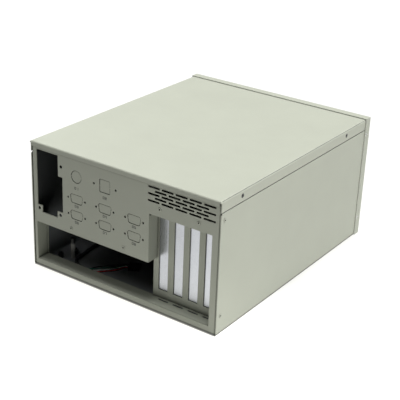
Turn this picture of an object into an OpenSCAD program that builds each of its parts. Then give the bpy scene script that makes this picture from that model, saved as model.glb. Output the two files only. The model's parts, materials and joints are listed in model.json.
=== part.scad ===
// Wall-mount server chassis: a folded steel tray with a lift-off cover, a rear panel
// with a recessed slot bay, and a folded front panel with a fan and its controls.
// X runs to the right seen from the rear, Y from the rear to the front, Z up.

/* [Case] */
// Outer width of the tray and the cover
case_w = 263; // [256:1:300]
// Height from the underside to the top of the cover
case_h = 157.7; // [154:0.1:180]
// Depth of the tray from the rear face
case_d = 315.5; // [305:0.5:380]
// Sheet thickness of the tray, the cover and the rear panels
sheet = 1.2; // [1:0.1:1.4]
// Inside radius of the folds
bend = 1; // [0.8:0.1:1.4]
// Gap between neighbouring sheets
seam = 0.3; // [0.2:0.05:0.4]

/* [Cover] */
// Height of the cover's side skirts
skirt_h = 13; // [11:0.5:15]
// Height of the cover's rear lip
lip_h = 5.8; // [4:0.1:7]
// Gap between the skirts' lower edges and the tray's shoulders
skirt_gap = 0.7; // [0.4:0.1:1]
// Width of the slit between the rear lip and a skirt
lip_slit = 0.8; // [0.5:0.1:1.5]
// Gap between the rear lip and the rear panel
lip_gap = 0.2; // [0.1:0.1:0.4]
// Distance of the rear skirt screws from the rear face
skirt_screw_y = 38.2; // [25:0.1:60]
// Distance between the two screws of a skirt
skirt_screw_pitch = 227.6; // [200:0.1:240]
// Drop of the skirt screws below the cover's top
skirt_screw_drop = 6.4; // [5.8:0.1:7]
// Thread diameter of the skirt screws
skirt_screw_d = 3; // [2.5:0.1:3.5]
// Head diameter of the skirt screws
skirt_head_d = 5; // [4.4:0.1:5.6]

/* [Rear bay] */
// Width of the rear frame left of the bay
frame_left = 6.5; // [5:0.5:8]
// Width of the rear frame right of the bay
frame_right = 10; // [8:0.5:12]
// Distance of the floor's rear edge from the rear face
floor_set = 3; // [2.6:0.1:5]
// Height of the bay's sill above the underside
sill_z = 8.8; // [7:0.1:10]
// Depth of the bay behind the rear face
bay_d = 16.5; // [15:0.5:20]
// Width of the connector box above the board opening
box_w = 164.5; // [163:0.5:167]
// Height of the connector box's lower edge
box_z = 57.8; // [55:0.1:60]
// Drop of the ledge above the slots below the cover's top
ledge_drop = 40.9; // [38:0.1:43]
// Width of the strip left of the board's connector opening
io_strip = 1.2; // [0.8:0.1:2]
// Distance between the board's connector opening and the box wall
io_gap = 5; // [4:0.5:8]
// Height of the board's connector opening
io_h = 44.5; // [43.5:0.5:45.5]
// Height of the fold relief above the box wall
relief = 3; // [2:0.5:4]
// Height that the bay's flanges reach behind the rear panel
bay_flange_h = 12; // [10:0.5:13]
// Depth of the rear panel's side flanges
side_flange_d = 14; // [12:0.5:14.5]

/* [Slots] */
// Distance of the first slot's middle from the box wall
slot_first = 8.4; // [7.5:0.1:10]
// Distance of the last slot's middle from the bay's right wall
slot_last = 12.64; // [11:0.01:14]
// Width of the bars between slots
slot_bar = 7.82; // [6:0.01:9]
// Height of the slots' lower end
slot_bottom = 19; // [15:0.1:22]
// Distance of the slots' upper end below the ledge
slot_top_gap = 4; // [3:0.5:6]
// Gap between neighbouring slot covers
cover_gap = 1.92; // [1:0.01:3]
// Sheet thickness of a slot cover
cover_t = 0.9; // [0.8:0.1:1.2]
// Length of the slot cover's screw tab
tab_l = 11.4; // [10.5:0.1:12]
// Inset of the slot cover's lower tongue from its edges
tongue_inset = 4.1; // [3.5:0.1:4.5]
// Height of the tongue's shoulder above the sill
tongue_step = 3; // [2:0.5:5]
// Gap between the tongue and the floor
tongue_gap = 1; // [0.3:0.1:2]
// Distance of the slot screws from the slot cover's edge
slot_screw_inset = 3.6; // [3.2:0.1:4.2]
// Distance of the slot screws from the slot panel
slot_screw_y = 6.5; // [6:0.1:7]
// Thread diameter of the slot screws
slot_screw_d = 3.4; // [3:0.1:3.6]
// Head diameter of the slot screws
slot_head_d = 7.4; // [6.5:0.1:8]
// Width of the bars between the windows in the sill
window_bar = 6.32; // [5:0.01:8]
// Width of the windows in the sill
window_w = 2.3; // [1.5:0.1:3]
// Distance of the windows from the slot panel
window_y = 2.6; // [2:0.1:4]
// Sideways offset of the windows from the slots
window_x = 3.3; // [0:0.1:4]

/* [Power supply opening] */
// Distance of the opening from the case's left side
psu_left = 8.4; // [7.5:0.1:9]
// Distance of the opening below the cover's top
psu_drop = 8.5; // [7:0.1:9.5]
// Width of the opening at its top
psu_top_w = 32.5; // [30:0.5:34]
// Width of the opening at its middle
psu_mid_w = 39; // [37:0.5:41]
// Width of the opening at its foot
psu_foot_w = 23.6; // [21:0.1:25]
// Inset of the foot from the left edge
psu_foot_x = 7; // [6.5:0.1:8]
// Height of the opening's foot above the connector box's lower edge
psu_rise = 13.8; // [12:0.1:15]
// Height of the top part
psu_top_h = 25.3; // [23:0.1:27]
// Height of the foot
psu_foot_h = 8.3; // [7.5:0.1:9]
// Diameter of the power supply's screw holes
psu_hole_d = 4; // [3.5:0.1:4.5]
// Distance of the screw holes from the opening's edges
psu_hole_gap = 4.5; // [4:0.1:5]
// Height of the upper hole above the top part's foot
psu_hole_rise = 12.7; // [8:0.1:16]

/* [Knock-outs] */
// Width of the slit round a knock-out
slit = 0.6; // [0.5:0.05:0.8]
// Distance that the knock-outs are pressed in
knock_set = 0.35; // [0.3:0.05:0.6]
// Width of the webs that hold a knock-out
web = 1.2; // [0.8:0.1:2]
// Diameter of the round knock-out
round_d = 14.7; // [13:0.1:18]
// Distance of the round knock-out from the bay's left wall
round_x = 61.7; // [60:0.1:64]
// Drop of the round and the square knock-outs below the cover's top
upper_drop = 27.3; // [25:0.1:29]
// Width of the square knock-out
square_w = 14.4; // [13:0.1:16]
// Height of the square knock-out
square_h = 15.2; // [14:0.1:16]
// Distance between the screw holes of the square knock-out
square_pitch = 31; // [28:0.5:33]
// Distance of the last serial knock-outs from the box wall
serial_last = 20.3; // [18:0.1:22]
// Height of the lower serial knock-outs above the box's lower edge
serial_rise = 25.1; // [23:0.1:27]
// Share of the height between the lower and the upper knock-outs that one row takes
serial_share = 0.425; // [0.4:0.005:0.45]
// Width of a serial knock-out
serial_w = 18.6; // [17:0.1:19.5]
// Height of a serial knock-out
serial_h = 10.6; // [9.5:0.1:11.5]
// Distance between the screw holes of a serial knock-out
serial_hole_pitch = 25; // [24:0.1:26]
// Diameter of the knock-outs' screw holes
knock_hole_d = 2.6; // [2.2:0.1:3.2]

/* [Vents] */
// Distance between the ends of neighbouring vent slots
vent_bar = 2.5; // [2:0.1:4]
// Reach of the vents past the box wall
vent_reach_left = 2; // [1:0.1:3]
// Reach of the vents past the bay's right wall
vent_reach_right = 3.6; // [2:0.1:4]
// Height of a vent slot
vent_h = 2.3; // [1.8:0.1:2.5]
// Distance between vent rows
vent_row = 4; // [3.6:0.1:4.2]
// Drop of the first vent row below the cover's top
vent_drop = 9; // [8:0.1:10]

/* [Rivets] */
// Diameter of the rivets' shanks
rivet_d = 3.2; // [2.8:0.1:3.6]
// Diameter of the rivets' heads
rivet_head_d = 4.8; // [4.4:0.1:5.4]
// Height of the rivets' heads
rivet_head_h = 0.6; // [0.4:0.1:0.8]
// Diameter of the hole in a rivet
rivet_bore = 1.8; // [1.4:0.1:2]
// Distance of the side rivets from the rear face
side_rivet_y = 7; // [6:0.1:10]
// Height of the lower side rivets
side_rivet_low = 22.3; // [18:0.1:30]
// Drop of the upper side rivets below the skirt's edge
side_rivet_drop = 9.9; // [9:0.1:20]
// Distance of the left box rivet from the bay's left wall
box_rivet_left = 53; // [45:0.5:56]
// Distance of the right box rivet from the box wall
box_rivet_right = 35; // [30:0.5:38]
// Height of the box rivets above the box's lower edge
box_rivet_rise = 7; // [6:0.1:8]
// Distance of the left ledge rivet from the box wall
ledge_rivet_left = 14.2; // [12:0.1:18]
// Distance of the right ledge rivet from the bay's right wall
ledge_rivet_right = 17.4; // [14:0.1:20]
// Height of the ledge rivets above the ledge's underside
ledge_rivet_rise = 9; // [8:0.1:10]

/* [Front] */
// Depth of the front panel
front_d = 12.2; // [11:0.1:14]
// Sheet thickness of the front panel
front_sheet = 1; // [0.9:0.1:1.5]
// Gap between the front panel's flanges and the front wall
front_gap = 0.2; // [0.15:0.05:0.4]
// Height of the lower flange screws
flange_screw_low = 24.7; // [18:0.1:30]
// Drop of the upper flange screws below the front panel's top
flange_screw_drop = 20.7; // [18:0.1:36]
// Distance of the flange screws from the front panel's rear edge
flange_screw_y = 2.8; // [2.4:0.1:5]
// Thread diameter of the flange screws
flange_screw_d = 2; // [1.8:0.1:2.4]

/* [Fan] */
// Side of the fan frame
fan_size = 80; // [76:1:92]
// Depth of the fan frame
fan_d = 25; // [22:0.5:32]
// Place of the fan from the middle of the case
fan_x = 62; // [55:0.5:66]
// Height of the fan's shaft
fan_z = 82; // [75:0.5:90]
// Distance of the fan's screw holes from the frame's edge
fan_hole_inset = 4.25; // [4:0.05:4.5]
// Wall of the fan's duct
fan_wall = 2; // [1.6:0.1:2.4]
// Thickness of the frame's flanges
fan_flange = 4; // [3:0.5:5]
// Diameter of the rotor's hub
hub_d = 34; // [30:0.5:38]
// Number of blades
blades = 7; // [5:1:9]
// Pitch angle of the blades
blade_pitch = 38; // [30:1:45]
// Thickness of a blade
blade_t = 1.6; // [1.2:0.1:2]
// Gap between the blade tips and the duct
tip_gap = 1.2; // [0.8:0.1:2]
// Diameter of the rotor's shaft
shaft_d = 3; // [2.5:0.1:4]
// Running clearance of the shaft, on the radius
shaft_fit = 0.05; // [0.03:0.01:0.08]
// Thread diameter of the fan screws
fan_screw_d = 4; // [3.6:0.1:4.2]
// Length of a slot in the front grille
grille_l = 15.5; // [12:0.5:16]
// Height of a slot in the front grille
grille_h = 2; // [1.6:0.1:2.6]
// Distance between grille slots in a row
grille_pitch = 18; // [17:0.1:18.5]
// Distance between grille rows
grille_row = 5; // [4.5:0.1:6]

/* [Controls] */
// Place of the power button from the middle of the case
power_x = -98; // [-102:0.5:-94]
// Distance between the power and the reset button
reset_step = 26; // [24:0.5:30]
// Height of the buttons and the lights
controls_z = 74; // [70:0.5:80]
// Diameter of the power button
power_d = 12; // [11:0.1:13]
// Diameter of the reset button
reset_d = 6; // [5:0.1:7]
// Clearance round the buttons, on the radius
button_gap = 0.4; // [0.35:0.05:0.5]
// Travel of the buttons
button_travel = 1.5; // [1:0.1:2]
// Wall of the switch bodies round the buttons
switch_wall = 2; // [1.6:0.1:2.4]
// Length of the switch bodies behind the front wall
switch_l = 16; // [14:0.5:20]
// Diameter of the lights
led_d = 5; // [4.5:0.1:5.5]
// Distance between the reset button and the first light
led_step = 20; // [18:0.5:24]
// Distance between the two lights
led_pitch = 10; // [9:0.5:12]
// Place of the double socket from the middle of the case
socket_x = -80; // [-84:0.5:-76]
// Height of the double socket's middle
socket_z = 40; // [36:0.5:44]
// Distance of the socket, the buttons and the lights behind the panel's face
face_set = 0.3; // [0.2:0.05:0.6]
// Width and height of the double socket's body
socket_side = 15.6; // [15:0.1:16.5]
// Depth of the double socket's body
socket_l = 20; // [18:0.5:24]
// Distance between the socket's screws
socket_pitch = 30; // [28:0.5:32]
// Width of a socket's mouth
mouth_w = 12.6; // [12:0.1:13]
// Height of a socket's mouth
mouth_h = 5.2; // [5:0.1:5.6]
// Depth of a socket's mouth
mouth_d = 12; // [10:0.5:14]

/* [Inside] */
// Distance of the first standoff from the bay's left wall
board_edge_x = 9.4; // [9:0.1:11]
// Distance of the first standoff from the slot panel
board_edge_y = 11.3; // [10.5:0.1:14]
// Sideways distance between the outer standoffs
board_x = 203.2; // [200:0.1:205]
// Sideways distance from the left to the middle standoffs
board_mid_x = 157.48; // [150:0.01:160]
// Lengthwise distance between the outer standoffs
board_y = 227.33; // [220:0.01:230]
// Lengthwise distance from the rear to the middle standoffs
board_mid_y = 154.94; // [150:0.01:160]
// Height of the board standoffs
standoff_h = 6.5; // [6:0.1:10]
// Width across flats of the standoffs
standoff_w = 5.5; // [5:0.1:6]
// Thread diameter in the standoffs
standoff_d = 3; // [2.5:0.1:3.2]
// Distance of the tall pillar from the bay's left wall
pillar_x = 21.7; // [20:0.1:25]
// Distance of the tall pillar from the slot panel
pillar_y = 19.6; // [18:0.1:22]
// Depth of the tall pillar's threaded hole
pillar_bore = 8; // [6:0.5:10]
// Height of the tall pillar
pillar_h = 26; // [20:0.5:32]
// Diameter of the tall pillar
pillar_w = 5.6; // [5.2:0.1:8]
// Sideways distance of the wall-mount holes
wall_hole_x = 220; // [212:1:230]
// Lengthwise distance of the wall-mount holes
wall_hole_y = 220; // [200:1:230]
// Thread diameter of the wall-mount holes
wall_hole_d = 4; // [3.5:0.1:5]
// Diameter of the wall-mount nuts in the tray's floor
wall_nut_shank = 6.4; // [6:0.1:7]
// Outer diameter of the wall-mount nuts
wall_nut_d = 9; // [8:0.1:10]
// Height of the wall-mount nuts
wall_nut_h = 5; // [4:0.1:5.5]
// Length of the power supply bracket
psu_shelf_l = 36; // [30:1:50]
// Distance of the power supply bracket from the rear face
psu_shelf_y = 118; // [100:1:130]
// Gap between the bracket's shelf and the foot of the power supply's opening
psu_shelf_gap = 3; // [2:0.5:5]
// Height of the bracket's flange on the side wall
psu_flange_h = 20; // [16:0.5:24]
// Height of the stiffening flange at the shelf's free edge
psu_edge_h = 5; // [4:0.5:8]
// Width of the drive cage, inside
cage_w = 102; // [101.6:0.1:104]
// Height of the drive cage's sides
cage_h = 38; // [30:0.5:40]
// Length of the drive cage
cage_l = 118; // [110:1:125]
// Drop of the drive cage's floor below the cover's top
cage_drop = 52; // [50:0.5:56]
// Distance of the drive cage from the left side wall
cage_gap = 14; // [12:0.5:20]
// Height of the drive's screw holes above the cage's floor
drive_hole_z = 6.35; // [6:0.05:7]
// Distance of the first drive screw hole from the cage's rear end
drive_hole_y = 28.5; // [26:0.1:31]
// Distance from the first to the middle drive screw hole
drive_hole_mid = 41.5; // [40:0.1:43]
// Distance from the middle to the last drive screw hole
drive_hole_last = 20; // [18:0.1:24]

/* [Hidden] */
$fn = 48;
fit = 0.1;
fold_steps = 4;
boss_l = 4.5;
cap_reach = 2;
cap_rest = 0.5;
cage_screw_z = 10;
near_ends = [0.2, 0.8];
steel = [0.82, 0.83, 0.77];
zinc = [0.82, 0.83, 0.86];
black = [0.08, 0.08, 0.09];

// Places worked out from the driving dimensions, with Y measured from the rear face
lip_out = sheet + lip_gap;
rear_face_y = -(case_d + front_d - lip_out) / 2;
half_w = case_w / 2;
panel_half = half_w - sheet - seam;
foot_half = panel_half - bend;
skirt_z = case_h - skirt_h;
inner_top = case_h - sheet;
panel_top = inner_top - 2 * seam;
bay_left = -half_w + frame_left;
bay_right = half_w - frame_right;
box_right = bay_left + box_w;
slot_back = bay_d + sheet;
ledge_z = case_h - ledge_drop;
ledge_top = ledge_z + sheet;
slot_pitch = (bay_right - box_right - slot_first - slot_last) / 3;
slot_w = slot_pitch - slot_bar;
cover_w = slot_pitch - cover_gap;
tongue_w = cover_w - 2 * tongue_inset;
slot_screw_x = cover_w / 2 - slot_screw_inset;
window_l = slot_pitch - window_bar;
psu_x = -half_w + psu_left;
psu_top = case_h - psu_drop;
psu_bottom = box_z + psu_rise;
psu_shelf_z = psu_bottom - psu_shelf_gap - sheet / 2;
upper_z = case_h - upper_drop;
serial_z = box_z + serial_rise;
serial_row = (upper_z - serial_z) * serial_share;
serial_pitch = (box_w - round_x - serial_last) / 2;
vent_left = box_right - vent_reach_left;
vent_pitch = (bay_right + vent_reach_right - vent_left + vent_bar) / 5;
vent_l = vent_pitch - vent_bar;
panel_back = case_d + front_d - front_sheet;
wall_front = case_d + sheet;
wall_half = half_w - front_gap;
front_half = half_w + front_sheet;
front_top = case_h + front_sheet;
hole_side = fan_size / 2 - fan_hole_inset;
duct_r = fan_size / 2 - fan_wall;
reset_x = power_x + reset_step;
led_x = reset_x + led_step;
control_front = case_d + front_d - face_set;
socket_rear = control_front - socket_l;
lead_y = socket_rear - boss_l;
cage_x = -half_w + sheet + cage_gap;
cage_z = case_h - cage_drop;
cage_screw_points = [for (k = near_ends) [cage_x + sheet + k * cage_w, cage_z + cage_screw_z]];

// Middle lines of the lead's jacket and wires: from the socket down to the floor, along it, and
// near the connector opening with places from the bay's left wall, the slot panel and the floor
jacket_d = 4.6;
wire_d = 1.4;
lie = sheet + jacket_d / 2;
fall_l = 93;
near_start = [25.1, 50.6];
run_bow = 21;
function fall(x, back, k) = [socket_x + x, lead_y - back, lie + k * (socket_z - lie)];
function blend(a, b, k) = a + k * (b - a);
function run(k) = [blend(bay_left + near_start.x, socket_x - 5, k) - run_bow * k * (1 - k),
  blend(slot_back + near_start.y, lead_y - fall_l, k), lie];
function near(p) = [bay_left + p.x, slot_back + p.y, sheet + p.z];
jacket_route = [fall(0, 0, 1), fall(0, 9, 1), fall(0, 19, 0.96), fall(0, 31, 0.82), fall(0, 43, 0.6),
  fall(-0.5, 55, 0.36), fall(-1.5, 67, 0.15), fall(-3, 80, 0.036),
  for (k = [8:-1:0]) run(k / 8),
  for (p = [[27.1, 36.6, 2.3], [28.7, 25.6, 2.3], [29.9, 18.2, 2.3], [33.5, 11.8, 2.3],
    [39.1, 7.2, 2.3], [47.7, 4.2, 2.3], [51.7, 4.2, 2.3]]) near(p)];
red_route = [for (p = [[51.7, 3.4, 1.5], [54.7, 3.4, 1.5], [59.2, 4, 1], [63.7, 5.8, 0.7],
  [67.7, 8.9, 0.7], [73.7, 15.8, 0.7], [79.7, 23, 0.7], [84.2, 29.2, 1.2], [88.2, 35.6, 2.7],
  [92.2, 37.6, 2.7]]) near(p)];
white_route = [for (p = [[51.7, 3.4, 3.1], [54.7, 3.4, 3.1], [58.2, 4.6, 2.8], [61.7, 7.2, 1.4],
  [65.2, 11.1, 0.7], [70.7, 17.6, 0.7], [76.7, 25.1, 0.7], [81.7, 31.6, 1.4], [87.2, 37.6, 2.7],
  [91.2, 39.6, 2.7]]) near(p)];
green_route = [for (p = [[51.7, 5, 3.1], [54.7, 5, 3.1], [57.3, 6.4, 2.8], [59.5, 9.6, 1.6],
  [61.7, 13.6, 0.7], [66.7, 20, 0.7], [72.2, 26, 0.7], [77.7, 32, 0.8], [81.7, 36.6, 1.8],
  [86.2, 39.6, 2.7], [90.2, 41.6, 2.7]]) near(p)];
black_route = [for (p = [[51.7, 5, 1.5], [53.7, 5, 1.5], [56.1, 6.4, 1.1], [57.1, 9.6, 0.7],
  [58.1, 14.6, 0.7], [61.7, 21.1, 0.7], [67.2, 27.6, 0.7], [73.7, 34.1, 0.8], [79.7, 39, 1.8],
  [85.2, 41.6, 2.7], [89.2, 43.6, 2.7]]) near(p)];
plug_end = near([90.7, 40.6, 0]);
plug_angle = atan2(2, 4);
plug_size = [14, 11, 5.4];

function slot_x(i) = box_right + slot_first + i * slot_pitch;

// Folded and rounded outlines
function unit(v) = v / norm(v);
function left_of(u) = [-u.y, u.x];
function turned(n, a) = [n.x * cos(a) - n.y * sin(a), n.x * sin(a) + n.y * cos(a)];
function corner(a, b, c, r) =
  let (
    u = unit(b - a),
    v = unit(c - b),
    side = sign(u.x * v.y - u.y * v.x),
    angle = acos(u * v),
    room = min(norm(b - a), norm(c - b)) / 2,
    radius = min(r, room / tan(angle / 2)),
    start = b - u * radius * tan(angle / 2),
    centre = start + left_of(u) * side * radius
  )
  [for (i = [0:fold_steps])
    let (n = turned(left_of(u), side * angle * i / fold_steps))
    [centre - n * side * radius, n]];
function path_pairs(p, r) =
  let (last = len(p) - 1)
  [[p[0], left_of(unit(p[1] - p[0]))],
   for (i = [1:last - 1]) each corner(p[i - 1], p[i], p[i + 1], r),
   [p[last], left_of(unit(p[last] - p[last - 1]))]];
function loop_pairs(p, r) =
  let (n = len(p))
  [for (i = [0:n - 1]) each corner(p[(i + n - 1) % n], p[i], p[(i + 1) % n], r)];
function shifted(pairs, d) = [for (k = pairs) k[0] + k[1] * d];
function reversed(p) = [for (i = [len(p) - 1:-1:0]) p[i]];
function box_loop(w, h) = [[-w, -h] / 2, [w, -h] / 2, [w, h] / 2, [-w, h] / 2];

// Section of a folded sheet along its middle line
module folded(p, t, r) {
  pairs = path_pairs(p, r + t / 2);
  polygon(concat(shifted(pairs, t / 2), reversed(shifted(pairs, -t / 2))));
}
module rounded(p, r) {
  polygon(shifted(loop_pairs(p, r), 0));
}
module stadium(l, h) {
  square([l - h, h], center = true);
  for (s = [-1, 1])
    translate([s * (l - h) / 2, 0])
      circle(d = h, $fn = 16);
}

// Extrusions of a section along each axis
module along_x(x, l) {
  translate([x, 0, 0])
    rotate([90, 0, 90])
      linear_extrude(l)
        children();
}
module along_y(y, l) {
  translate([0, y + l, 0])
    rotate([90, 0, 0])
      linear_extrude(l)
        children();
}
module rod_y(x, y, z, d, l) {
  translate([x, y + l, z])
    rotate([90, 0, 0])
      cylinder(d = d, h = l);
}
// Sets a piece that is drawn with Y from the rear face into the part's frame
module placed() {
  translate([0, rear_face_y, 0])
    children();
}
module both_sides() {
  for (s = [0, 1])
    mirror([s, 0, 0])
      children();
}

// Tray
module standoff_places() {
  for (x = [0, board_mid_x, board_x], y = [0, board_mid_y, board_y])
    translate([bay_left + board_edge_x + x, slot_back + board_edge_y + y, 0])
      children();
}
module wall_hole_places() {
  for (x = [-1, 1], y = [-1, 1])
    translate([x * wall_hole_x / 2, case_d / 2 + y * wall_hole_y / 2, 0])
      children();
}
module pillar_place() {
  translate([bay_left + pillar_x, slot_back + pillar_y, 0])
    children();
}
module skirt_screw_places() {
  for (s = [0, 1], y = [0, 1])
    mirror([s, 0, 0])
      translate([half_w, skirt_screw_y + y * skirt_screw_pitch, case_h - skirt_screw_drop])
        rotate([0, -90, 0])
          children();
}
module side_rivet_places() {
  for (s = [0, 1], z = [side_rivet_low, skirt_z - side_rivet_drop])
    mirror([s, 0, 0])
      translate([half_w, side_rivet_y, z])
        rotate([0, -90, 0])
          children();
}
module psu_rivet_places() {
  for (y = near_ends)
    translate([-half_w, psu_shelf_y + y * psu_shelf_l, psu_shelf_z - psu_flange_h / 2])
      rotate([0, 90, 0])
        children();
}
module base_tray() {
  wall = half_w - sheet / 2;
  inner = wall - sheet - seam;
  shoulder = skirt_z - skirt_gap - sheet / 2;
  top = inner_top - seam;
  profile = [[-inner, top], [-inner, shoulder], [-wall, shoulder], [-wall, sheet / 2],
    [wall, sheet / 2], [wall, shoulder], [inner, shoulder], [inner, top]];
  color(steel)
    placed()
      difference() {
        along_y(0, case_d)
          folded(profile, sheet, bend);
        translate([-half_w, -1, shoulder - sheet])
          cube([case_w, 1 + sheet + seam, case_h]);
        translate([-foot_half - seam, -1, -1])
          cube([2 * (foot_half + seam), 1 + floor_set, 1 + 2 * sheet]);
        wall_hole_places()
          cylinder(d = wall_nut_shank + fit, h = 3 * sheet, center = true);
        standoff_places()
          cylinder(d = standoff_d + 1 + fit, h = 3 * sheet, center = true);
        pillar_place()
          cylinder(d = standoff_d + 1 + fit, h = 3 * sheet, center = true);
        skirt_screw_places()
          cylinder(d = skirt_screw_d + fit, h = 10);
        side_rivet_places()
          cylinder(d = rivet_d + fit, h = 4 * sheet, center = true);
        psu_rivet_places()
          cylinder(d = rivet_d + fit, h = 4 * sheet, center = true);
      }
}

// Rear panel
module psu_outline() {
  top_right = psu_x + psu_top_w;
  mid_right = psu_x + psu_mid_w;
  foot_left = psu_x + psu_foot_x;
  foot_right = foot_left + psu_foot_w;
  step_high = psu_top - psu_top_h;
  step_low = psu_bottom + psu_foot_h;
  polygon([[psu_x, psu_top], [psu_x, step_low], [foot_left, step_low], [foot_left, psu_bottom],
    [foot_right, psu_bottom], [foot_right, step_low], [mid_right, step_low],
    [mid_right, step_high], [top_right, step_high], [top_right, psu_top]]);
  for (p = [[top_right + psu_hole_gap, step_high + psu_hole_rise],
      [foot_right + psu_hole_gap, psu_bottom + psu_hole_gap],
      [foot_left - psu_hole_gap, psu_bottom + psu_hole_gap]])
    translate(p)
      circle(d = psu_hole_d);
}
module knock_holes(pitch) {
  for (s = [-1, 1])
    translate([s * pitch / 2, 0])
      circle(d = knock_hole_d, $fn = 24);
}
// Outlines of the knock-outs, drawn in by a distance
module serial_outline(d) {
  taper = 1.5;
  corner_r = 2.4;
  w = serial_w / 2;
  h = serial_h / 2;
  polygon(shifted(loop_pairs([[-w + taper, -h], [w - taper, -h], [w, h], [-w, h]], corner_r), d));
}
module square_outline(d) {
  corner_r = 1;
  polygon(shifted(loop_pairs(box_loop(square_w, square_h), corner_r), d));
}
module round_outline(d) {
  circle(d = round_d - 2 * d);
}
module knock_out_places() {
  first = bay_left + round_x;
  translate([first, upper_z])
    children(0);
  translate([first + serial_pitch, upper_z])
    children(1);
  for (i = [0:2], j = [0, 1])
    translate([first + i * serial_pitch, serial_z + j * serial_row])
      children(2);
}
module knock_out_holes() {
  knock_out_places() {
    round_outline(-slit / 2);
    union() {
      square_outline(-slit / 2);
      knock_holes(square_pitch);
    }
    union() {
      serial_outline(-slit / 2);
      knock_holes(serial_hole_pitch);
    }
  }
}
module slug(w) {
  web_reach = 2 * slit;
  children();
  square([w + 2 * web_reach, web], center = true);
}
module knock_out_slugs() {
  knock_out_places() {
    slug(round_d)
      round_outline(slit / 2);
    slug(square_w)
      square_outline(slit / 2);
    slug(serial_w)
      serial_outline(slit / 2);
  }
}
module vents() {
  for (row = [0:4], i = [0:4 - row % 2])
    translate([vent_left + vent_l / 2 + (i + (row % 2) / 2) * vent_pitch,
        case_h - vent_drop - row * vent_row])
      stadium(vent_l, vent_h);
}
module panel_rivet_places() {
  box_rivet_z = box_z + box_rivet_rise;
  ledge_rivet_z = ledge_z + ledge_rivet_rise;
  for (p = [[bay_left + box_rivet_left, box_rivet_z], [box_right - box_rivet_right, box_rivet_z],
      [box_right + ledge_rivet_left, ledge_rivet_z], [bay_right - ledge_rivet_right, ledge_rivet_z]])
    translate([p.x, 0, p.y])
      rotate([-90, 0, 0])
        children();
}
module bay_outline() {
  polygon([[bay_left, sill_z], [bay_right, sill_z], [bay_right, ledge_z], [box_right, ledge_z],
    [box_right, box_z], [bay_left, box_z]]);
}
module bay_walls() {
  translate([bay_left - sheet, sill_z - sheet])
    square([bay_right - bay_left + 2 * sheet, sheet]);
  translate([bay_left - sheet, sill_z - sheet])
    square([sheet, box_z - sill_z + sheet]);
  translate([bay_right, sill_z - sheet])
    square([sheet, ledge_z - sill_z + sheet]);
  translate([box_right - sheet, box_z])
    square([sheet, ledge_z - relief - box_z]);
}
// Block with the panel's outer or inner folds at its sides and its foot
module panel_block(inset, r, ends) {
  w = panel_half - inset;
  deep = side_flange_d + ends;
  top = panel_top + ends;
  intersection() {
    linear_extrude(case_h)
      polygon(shifted(path_pairs([[-w, deep], [-w, inset], [w, inset], [w, deep]], r), 0));
    along_x(-half_w, case_w)
      polygon(concat(shifted(path_pairs([[deep, inset], [inset, inset], [inset, top]], r), 0),
        [[deep, top]]));
  }
}
module panel_sheet() {
  flange_low = sill_z + sheet;
  flange_high = skirt_z - 3 * sheet;
  difference() {
    panel_block(0, bend + sheet, 0);
    panel_block(sheet, bend, 1);
    translate([-half_w, floor_set - seam, -1])
      cube([case_w, case_d, flange_low + 1]);
    translate([-half_w, sheet, flange_high])
      cube([case_w, case_d, case_h]);
    both_sides()
      translate([foot_half, -1, -1])
        cube([half_w, case_d, 1 + 2 * sheet + bend / 2]);
    along_y(-1, 1 + 2 * sheet) {
      bay_outline();
      psu_outline();
      knock_out_holes();
      vents();
    }
  }
}
module rear_panel() {
  color(steel)
    placed()
      difference() {
        union() {
          panel_sheet();
          along_y(knock_set, sheet)
            knock_out_slugs();
          along_y(0, bay_d)
            bay_walls();
        }
        for (i = [0:3])
          translate([slot_x(i) + window_x - window_l / 2, bay_d - window_y - window_w, 0])
            cube([window_l, window_w, sill_z + 1]);
        panel_rivet_places()
          cylinder(d = rivet_d + fit, h = 4 * sheet, center = true);
        side_rivet_places()
          cylinder(d = rivet_d + fit, h = 8 * sheet, center = true);
      }
}

// Slot panel and slot covers
module slot_screw_places() {
  for (i = [0:3])
    translate([slot_x(i) + slot_screw_x, slot_back - slot_screw_y, ledge_top])
      children();
}
module shelf_section(z, low) {
  mid = sheet / 2;
  folded([[slot_back - mid, low], [slot_back - mid, z + mid], [sheet + mid, z + mid],
    [sheet + mid, z + sheet + bay_flange_h]], sheet, bend);
}
module slot_panel() {
  io_left = bay_left + io_strip;
  io_right = box_right - io_gap;
  io_top = sill_z + io_h;
  box_inner = box_right - sheet - fit;
  color(steel)
    placed()
      difference() {
        union() {
          along_y(bay_d, sheet)
            difference() {
              rounded([[-panel_half, sheet], [panel_half, sheet], [panel_half, box_z - sheet],
                [-panel_half, box_z - sheet]], bend);
              translate([io_left, sill_z])
                square([io_right - io_left, io_h]);
            }
          along_y(bay_d, sheet)
            translate([io_right, sheet])
              square([bay_right - io_right, ledge_z - 2 * sheet]);
          along_x(bay_left, box_inner - bay_left)
            shelf_section(box_z, io_top);
          along_x(box_right + fit, bay_right - box_right - 2 * fit)
            shelf_section(ledge_z, io_top);
        }
        for (i = [0:3])
          translate([slot_x(i) - slot_w / 2, bay_d - 1, slot_bottom])
            cube([slot_w, sheet + 2, ledge_z - slot_top_gap - slot_bottom]);
        slot_screw_places()
          cylinder(d = slot_screw_d + fit, h = 4 * sheet, center = true);
        panel_rivet_places()
          cylinder(d = rivet_d + fit, h = 8 * sheet, center = true);
      }
}
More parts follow.
